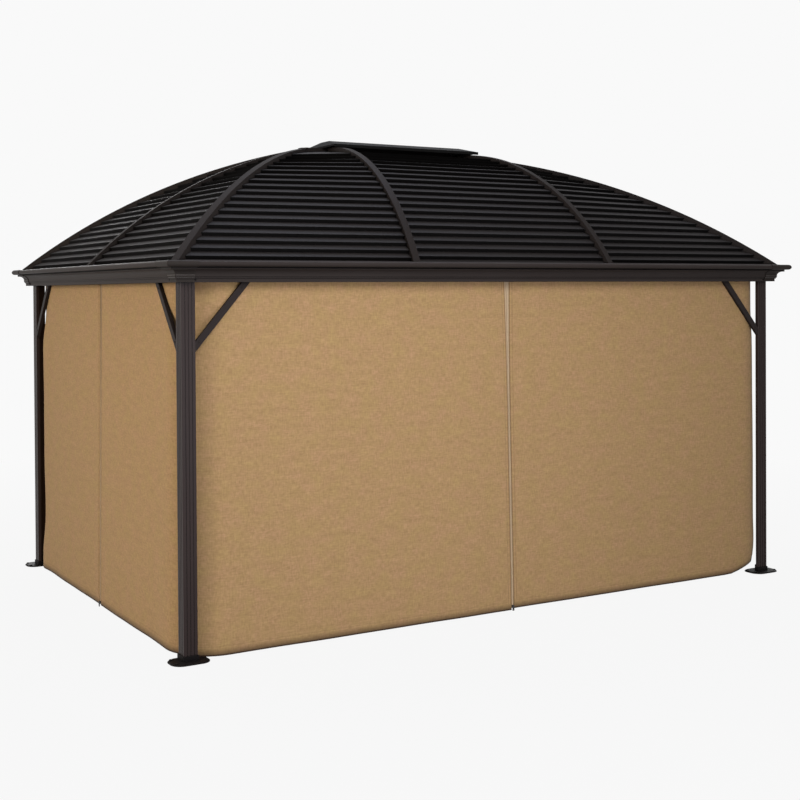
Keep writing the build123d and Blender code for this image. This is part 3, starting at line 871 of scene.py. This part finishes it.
# %% Powder-coated aluminium
def powder_coat(name, dark, light, rough, edge, gloss_level=0.2, dust_and_light_tones=None):
    """A coat with a fine orange peel, a slow drift of tone, edges lighter as rubbed wear and painted highlight,
    dust and painted light on sky-facing faces, and painted shade in steps and recesses.
    """
    made, tree, shader = new_material(name)
    place = add_node(tree, "TexCoord").outputs["Object"]
    # The coat varies in thickness, and so in tone, over some 400 mm.
    drift = add_node(tree, "TexNoise", inputs={"Vector": place, "Scale": 2.3, "Detail": 3.0})
    tone = add_node(
        tree, "Mix", COLOUR_MIX,
        {0: drift.outputs["Fac"], MIX_A: linear(dark), MIX_B: linear(light)},
    )
    # The real peel has cells of about 1 mm; drawn at 5 mm so that it shows.
    peel = add_node(tree, "TexNoise", inputs={"Vector": place, "Scale": 200.0, "Detail": 2.0})
    soft_edge = add_node(tree, "Bevel", {"samples": 4}, {"Radius": 0.0015})
    bump = add_node(
        tree, "Bump",
        inputs={
            "Strength": 0.25, "Distance": 0.0004, "Height": peel.outputs["Fac"], "Normal": soft_edge.outputs[0]
        },
    )
    # Where the rounded normal turns away from the flat face there is an edge, and there the colour is painted
    # lighter, partly as rubbed wear and partly as a painted highlight.
    flat = add_node(tree, "NewGeometry").outputs["True Normal"]
    turn = add_node(
        tree, "VectorMath", {"operation": "DOT_PRODUCT"}, {0: flat, 1: soft_edge.outputs[0]}
    )
    edge_wear_and_highlight = add_node(
        tree, "MapRange",
        inputs={"Value": turn.outputs["Value"], "From Min": 0.99, "From Max": 0.8, "To Max": edge},
    )
    rubbed_and_highlit = add_node(
        tree, "Mix", COLOUR_MIX,
        {0: edge_wear_and_highlight.outputs[0], MIX_A: tone.outputs[MIX_OUT], MIX_B: linear("#6E625B")},
    )
    gloss = add_node(
        tree, "MapRange",
        inputs={"Value": drift.outputs["Fac"], "To Min": rough - 0.05, "To Max": rough + 0.06},
    )
    surface = rubbed_and_highlit.outputs[MIX_OUT]
    if dust_and_light_tones:
        # Faces turned to the sky are painted grey, partly as dust and dried rain and partly as painted light,
        # and the step faces under each lap are painted black as painted shade.
        upward = add_node(tree, "SeparateXYZ", inputs={0: flat}).outputs["Z"]
        dust_and_light_mask = add_node(tree, "MapRange", inputs={"Value": upward, "From Min": 0.12, "From Max": 0.4})
        dust_and_light_tone = add_node(
            tree, "Mix", COLOUR_MIX,
            {0: drift.outputs["Fac"], MIX_A: linear(dust_and_light_tones[0]), MIX_B: linear(dust_and_light_tones[1])},
        )
        surface = add_node(
            tree, "Mix", COLOUR_MIX, {0: dust_and_light_mask.outputs[0], MIX_A: surface, MIX_B: dust_and_light_tone.outputs[MIX_OUT]}
        ).outputs[MIX_OUT]
    # Painted shade: within about 15 mm of slots, grooves and joints between parts, ambient occlusion darkens
    # the colour towards near black, where shade falls.
    open_sky = add_node(tree, "AmbientOcclusion", {"samples": 6}, {"Distance": 0.015})
    unshaded = add_node(
        tree, "MapRange", inputs={"Value": open_sky.outputs["AO"], "From Min": 0.4, "From Max": 0.85}
    )
    painted_crevice_shade = add_node(
        tree, "Mix", COLOUR_MIX, {0: unshaded.outputs[0], MIX_A: linear("#080606"), MIX_B: surface}
    )
    tree.links.new(painted_crevice_shade.outputs[MIX_OUT], shader.inputs["Base Color"])
    tree.links.new(gloss.outputs[0], shader.inputs["Roughness"])
    tree.links.new(bump.outputs[0], shader.inputs["Normal"])
    shader.inputs["Specular IOR Level"].default_value = gloss_level
    return made


# %% [markdown]
# ### A coat for each part
# All of the frame was coated in one colour, but its parts don't look alike: what lies on the ground or on the
# roof is duller, castings wear faster than extrusions, and thin parts look darker. So each kind of part has its
# own tones, roughness, rub and gloss; some tones also hold painted shade and painted highlight.

# %% A coat for each part
# The posts have a satin coat that shows a little of the pale floor, and keeps their grooves crisp.
frame_coat = powder_coat("powder_coated_aluminium", "#302726", "#3A302E", 0.38, 0.2, 0.08)
# The beams have a duller coat, so that their mouldings show by shade and not by glints.
beam_coat = powder_coat("satin_coated_beam", "#302A28", "#393331", 0.5, 0.15, 0.05)
# The ribs on the roof are matt, so that each reads as one soft line against the sheets.
rib_coat = powder_coat("matt_coated_rib", "#211D1C", "#292422", 0.6, 0.1, 0.05)
# The plates on the ground are nearly black, and dull with dust.
foot_coat = powder_coat("black_powder_coated_steel", "#121010", "#1A1717", 0.6, 0.2, 0.06)
# The corner castings keep the tone of the beams, and their edges are painted lighter, partly as rubbed wear and
# partly as a painted highlight.
cap_coat = powder_coat("satin_powder_coated_casting", "#2C2725", "#35302D", 0.5, 0.3, 0.05)
# The braces are thin tubes, a shade darker than the beams.
brace_coat = powder_coat("satin_coated_brace", "#2A2423", "#322B2A", 0.5, 0.2, 0.06)
# The ridge cover is matt, and its colour is painted near black as painted shade, so that its lid reads as a
# shadow with a thin edge.
cover_shade_coat = powder_coat("coil_coated_steel_painted_shade", "#0D0C0C", "#131212", 0.6, 0.0, 0.06)
# The roof sheets are painted black in their steps as painted shade, and grey on what faces the sky, partly as
# dust and partly as painted light.
roof_coat = powder_coat("coil_coated_steel", "#0B0A0A", "#100F0E", 0.62, 0.0, 0.07, ("#221F1F", "#2B2827"))
# The rail is anodised: dark, smooth and a little glossier than the coats.
rail_coat = powder_coat("dark_anodised_aluminium", "#2A2623", "#332E2B", 0.38, 0.2)
# The reeds of the caps stand proud, and their pale tone is a painted highlight, so that they read as thin pale
# lines.
reed_highlight_coat = powder_coat("powder_coat_painted_highlight", "#4E4945", "#6A635E", 0.35, 0.5, 0.4)
print("metal finishes made")

# %% [markdown]
# ### Screws and anchors in their finishes
# The small parts were coated with what they hold. The anchor bolts sit on washers, four to a plate, and each
# was turned until it was tight, so hexagons beside each other point different ways.

# %% Screws and anchors in their finishes
copies_of(screw_head("cap_screws", 0.0048, 0.0022, 16), "cap_screws", cap_screws, "frame_metal", foot_coat)
copies_of(
    screw_head("brace_screws", 0.0055, 0.0024, 16), "brace_screws", brace_screws, "frame_metal", brace_coat
)
ANCHOR_X = 0.080
ANCHOR_Y = 0.042
PLATE_THICK = 0.008
WASHER_THICK = 0.0012
FIRST_TURN = 17
NEXT_TURN = 40
foot_low, foot_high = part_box("foot_plate_back_right")
plate_top = foot_low.z + PLATE_THICK
anchors = []
washers = []
for sx, sy in CORNERS.values():
    for step_x in (-ANCHOR_X, ANCHOR_X):
        for step_y in (-ANCHOR_Y, ANCHOR_Y):
            x = sx * (foot_low.x + foot_high.x) / 2 + step_x
            y = sy * (foot_low.y + foot_high.y) / 2 + step_y
            turn = Matrix.Rotation(math.radians(FIRST_TURN + NEXT_TURN * len(anchors)), 4, "Z")
            washers.append(Matrix.Translation((x, y, plate_top)))
            anchors.append(Matrix.Translation((x, y, plate_top + WASHER_THICK)) @ turn)
washer = screw_head("anchor_washers", 0.0100, WASHER_THICK, 24)
copies_of(washer, "anchor_washers", washers, "foot_metal", foot_coat)
bolt = screw_head("anchor_bolts", 0.0075, 0.0032, 6)
copies_of(bolt, "anchor_bolts", anchors, "foot_metal", foot_coat)

# %% [markdown]
# ### The coats on the CAD nodes
# A finish belongs to a kind of part, and the name of each CAD node starts with its kind, so a table from kind
# to coat finishes all of them. What isn't in the table has the coat of the posts.

# %% Put the metal finishes on the CAD nodes
FINISH_OF = {
    "roof_sheet": roof_coat,
    "foot_plate": foot_coat,
    "curtain_track": rail_coat,
    "corner_cap": cap_coat,
    "ridge_cover": cover_shade_coat,
    "eave_beam": beam_coat,
    "braces": brace_coat,
    "ridge_beam": rib_coat,
    "hip_rib": rib_coat,
    "end_rib": rib_coat,
    "long_ribs": rib_coat,
}
for name, node_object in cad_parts.items():
    finish = frame_coat
    for start, made in FINISH_OF.items():
        if name.startswith(start):
            finish = made
    node_object.data.materials.clear()
    node_object.data.materials.append(finish)
# The lip takes the cover's near-black coat, a painted shade, so that it reads as the dark line under the lid.
cover_lip.data.materials.append(cover_shade_coat)
cap_reeds.data.materials.append(reed_highlight_coat)
print("finishes on", len(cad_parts), "nodes")

# %% [markdown]
# ## Canvas
# The curtains are polyester canvas, yarn-dyed in two close sand tones. Uneven yarns leave slubs, short thick
# places that run along the threads, and those are what the eye sees from some metres away.
# A photo of cloth would show its own light and its own size, so the canvas is drawn from stretched noise
# instead, in metres along the cloth.


# %% Polyester canvas
def canvas(name):
    """Heathered canvas with slubs both ways, a darker sewn hem and its stitches."""
    made, tree, shader = new_material(name)
    cloth_place = add_node(tree, "UVMap", {"uv_map": "cloth_metres"}).outputs[0]
    # Slubs 30 mm long lie along the weft and along the warp, over level bands of some 110 mm. A real slub is
    # 1 to 2 mm thick, drawn at 8 mm so that it shows.
    slubs = 0.0
    for across, up, share in ((34.0, 130.0, 0.4), (120.0, 34.0, 0.4), (9.0, 34.0, 0.2)):
        stretched = add_node(tree, "Mapping", inputs={"Vector": cloth_place, "Scale": (across, up, 1.0)})
        slub = add_node(
            tree, "TexNoise", inputs={"Vector": stretched.outputs[0], "Scale": 1.0, "Detail": 2.0}
        )
        slubs = add_node(
            tree, "Math", {"operation": "MULTIPLY_ADD"}, {0: slub.outputs["Fac"], 1: share, 2: slubs}
        ).outputs[0]
    heather = add_node(tree, "MapRange", inputs={"Value": slubs, "From Min": 0.365, "From Max": 0.635})
    # Dyed cloth is never quite even: patches some 90 mm across are warmer or cooler.
    patches = add_node(tree, "TexNoise", inputs={"Vector": cloth_place, "Scale": 11.0, "Detail": 3.0})
    hue = add_node(
        tree, "MapRange", inputs={"Value": patches.outputs["Fac"], "From Min": 0.35, "From Max": 0.65}
    )
    warm = add_node(
        tree, "Mix", COLOUR_MIX,
        {0: hue.outputs[0], MIX_A: linear("#B99A67"), MIX_B: linear("#BE9770")},
    )
    tone = add_node(
        tree, "Mix", COLOUR_MIX,
        {0: heather.outputs[0], MIX_A: linear("#A28259"), MIX_B: warm.outputs[MIX_OUT]},
    )
    # The threads are about 0.8 mm apart, too fine for this view, so the weave is drawn at 4 mm.
    threads = add_node(tree, "TexNoise", inputs={"Vector": cloth_place, "Scale": 250.0, "Detail": 1.0})
    from_edges = add_node(tree, "UVMap", {"uv_map": "cloth_edges"}).outputs[0]
    edge_place = add_node(tree, "SeparateXYZ", inputs={0: from_edges})
    from_zip, above_hem = edge_place.outputs["X"], edge_place.outputs["Y"]
    # Two rows of lockstitch hold the fold beside a zip, and one row the hem. A real row is 1 mm wide, drawn at
    # some 4 mm so that it shows.
    stitched = 0.0
    for value, at, dark in ((from_zip, 0.0035, 0.55), (from_zip, 0.021, 0.2), (above_hem, 0.046, 0.12)):
        off = add_node(tree, "Math", {"operation": "SUBTRACT"}, {0: value, 1: at})
        off = add_node(tree, "Math", {"operation": "ABSOLUTE"}, {0: off.outputs[0]})
        row = add_node(
            tree, "MapRange",
            inputs={
                "Value": off.outputs[0], "From Min": 0.0012, "From Max": 0.0030, "To Min": dark, "To Max": 0.0
            },
        )
        stitched = add_node(
            tree, "Math", {"operation": "MAXIMUM"}, {0: stitched, 1: row.outputs[0]}
        ).outputs[0]
    # The hem is painted darker brown towards its lower edge over some 25 mm, and darkest at the rim, where the
    # dark is a painted shade under the turned edge.
    darker_to_hem = add_node(
        tree, "MapRange",
        inputs={"Value": above_hem, "From Min": 0.008, "From Max": 0.04, "To Min": 0.75, "To Max": 0.0},
    )
    rim = add_node(
        tree, "MapRange",
        inputs={"Value": above_hem, "From Min": 0.007, "From Max": 0.013, "To Min": 1.0, "To Max": 0.0},
    )
    darker_to_hem = add_node(tree, "Math", {"operation": "MAXIMUM"}, {0: darker_to_hem.outputs[0], 1: rim.outputs[0]})
    marked = add_node(tree, "Math", {"operation": "MAXIMUM"}, {0: stitched, 1: darker_to_hem.outputs[0]})
    tone = add_node(
        tree, "Mix", COLOUR_MIX,
        {0: marked.outputs[0], MIX_A: tone.outputs[MIX_OUT], MIX_B: linear("#3E2D1E")},
    )
    bump = add_node(
        tree, "Bump", inputs={"Strength": 0.35, "Distance": 0.0008, "Height": threads.outputs["Fac"]}
    )
    tree.links.new(tone.outputs[MIX_OUT], shader.inputs["Base Color"])
    tree.links.new(bump.outputs[0], shader.inputs["Normal"])
    shader.inputs["Roughness"].default_value = 0.85
    shader.inputs["Specular IOR Level"].default_value = 0.25
    shader.inputs["Sheen Weight"].default_value = 0.1
    return made


# Woven matt cloth scatters the light, with a faint sheen where its fibres are seen edge on.
canvas_cloth = canvas("polyester_canvas")
for cloth in curtains.values():
    cloth.data.materials.clear()
    cloth.data.materials.append(canvas_cloth)
print("canvas on", len(curtains), "curtains")

# %% [markdown]
# ## Surround
# A studio has a pale surround that fills the shadows. The camera, and what shines or is seen through, see it at
# full strength, while the light that it gives is set apart, so that a white backdrop doesn't bleach the cloth.


# %% World
def seen_rays(tree):
    """1 for what the camera sees, straight, through something or in a gloss, and 0 for rays of light."""
    path = add_node(tree, "LightPath").outputs
    seen = add_node(
        tree, "Math", {"operation": "MAXIMUM"}, {0: path["Is Camera Ray"], 1: path["Is Transmission Ray"]}
    )
    seen = add_node(tree, "Math", {"operation": "MAXIMUM"}, {0: seen.outputs[0], 1: path["Is Glossy Ray"]})
    return seen.outputs[0]


PALE = "#F9F9F9"
FILL = 0.3
world = bpy.data.worlds.new("studio")
bpy.context.scene.world = world
world.use_nodes = True
tree = world.node_tree
tree.nodes.clear()
shown = add_node(tree, "Background", inputs={"Color": linear(PALE)})
fill = add_node(tree, "Background", inputs={"Color": (FILL, FILL, FILL, 1)})
either = add_node(tree, "MixShader", inputs={0: seen_rays(tree), 1: fill.outputs[0], 2: shown.outputs[0]})
add_node(tree, "OutputWorld", inputs={"Surface": either.outputs[0]})
print("surround", PALE, "fill", FILL)

# %% [markdown]
# ## Lamps
# Large soft lamps keep the shadows soft. The key hangs in front, on the left, and falls off along the front
# curtain. A low, slightly cool lamp puts a sheen on the near post. Three farther ones fill the left, the back
# and the right, and a bluish one above stands for the sky on the roof.


# %% Lamps
def add_lamp(name, place, target, wide, tall, power, colour):
    """A soft lamp that looks at a point."""
    lamp_data = bpy.data.lights.new(name, "AREA")
    lamp_data.shape = "RECTANGLE"
    lamp_data.size = wide
    lamp_data.size_y = tall
    lamp_data.energy = power
    lamp_data.color = linear(colour)[:3]
    lamp = bpy.data.objects.new(name, lamp_data)
    lamp.location = place
    lamp.rotation_euler = (Vector(target) - Vector(place)).to_track_quat("-Z", "Y").to_euler()
    lamp.visible_camera = False
    bpy.context.scene.collection.objects.link(lamp)
    print("lamp", name, power, "W")


add_lamp("key", (-1.7, -5.2, 4.1), (-1.3, -1.4, 1.9), 2.4, 2.4, 117, "#FFFFFF")
add_lamp("sheen", (-0.5, -5.8, 1.15), (-1.5, -1.4, 1.15), 1.3, 2.2, 80, "#EAEAF3")
add_lamp("left_fill", (-8.0, -1.5, 3.0), (-2.0, 0.0, 1.3), 3.0, 3.0, 248, "#FFF4E4")
add_lamp("back_fill", (1.0, 8.0, 3.2), (0.0, 1.4, 1.3), 3.0, 3.0, 330, "#FFFFFF")
add_lamp("right_fill", (8.5, 2.6, 3.0), (2.0, 0.0, 1.3), 3.0, 3.0, 105, "#FFFFFF")
add_lamp("sky", (0.0, 0.5, 7.0), (0.0, 0.0, 2.8), 4.0, 3.0, 160, "#D8E4FF")

# %% [markdown]
# ## Floor
# The gazebo stands on a plain painted floor without an edge. The camera sees it as pale as the surround, and
# only near the object a little of its real shade is mixed in, which leaves a trace of shadow.

# %% Floor
FLOOR_RADIUS = 40
# The share of plain pale grey under the object, and between which distances from the middle it grows to 1.
PALE_SHARE = 0.97
PALE_FROM = 2.5
PALE_TO = 7.0
deselect_all()
bpy.ops.mesh.primitive_circle_add(vertices=96, radius=FLOOR_RADIUS, fill_type="NGON")
floor = added("floor")
# Matt paint on a smooth floor: no gloss of its own, so that nothing but a soft shadow shows.
floor_paint, tree, shader = new_material("studio_floor")
shader.inputs["Base Color"].default_value = linear("#787878")
shader.inputs["Roughness"].default_value = 0.9
plain = add_node(tree, "Emission", inputs={"Color": linear(PALE)})
place = add_node(tree, "TexCoord").outputs["Object"]
away = add_node(tree, "VectorMath", {"operation": "LENGTH"}, {0: place})
plainer = add_node(
    tree, "MapRange",
    inputs={
        "Value": away.outputs["Value"], "From Min": PALE_FROM, "From Max": PALE_TO,
        "To Min": PALE_SHARE, "To Max": 1.0,
    },
)
share = add_node(tree, "Math", {"operation": "MULTIPLY"}, {0: seen_rays(tree), 1: plainer.outputs[0]})
mixed = add_node(tree, "MixShader", inputs={0: share.outputs[0], 1: shader.outputs[0], 2: plain.outputs[0]})
tree.links.new(mixed.outputs[0], tree.nodes["Material Output"].inputs["Surface"])
floor.data.materials.append(floor_paint)
print("floor", FLOOR_RADIUS, "m in radius")

# %% [markdown]
# Each curtain is cut 3.29 m along, and 1.99 m high, of which it hangs 1.884 m and two folds of 52 mm make the
# hem.
# The file ends by setting the view transform to Standard.

# %% Set the colour view
bpy.context.scene.view_settings.view_transform = "Standard"
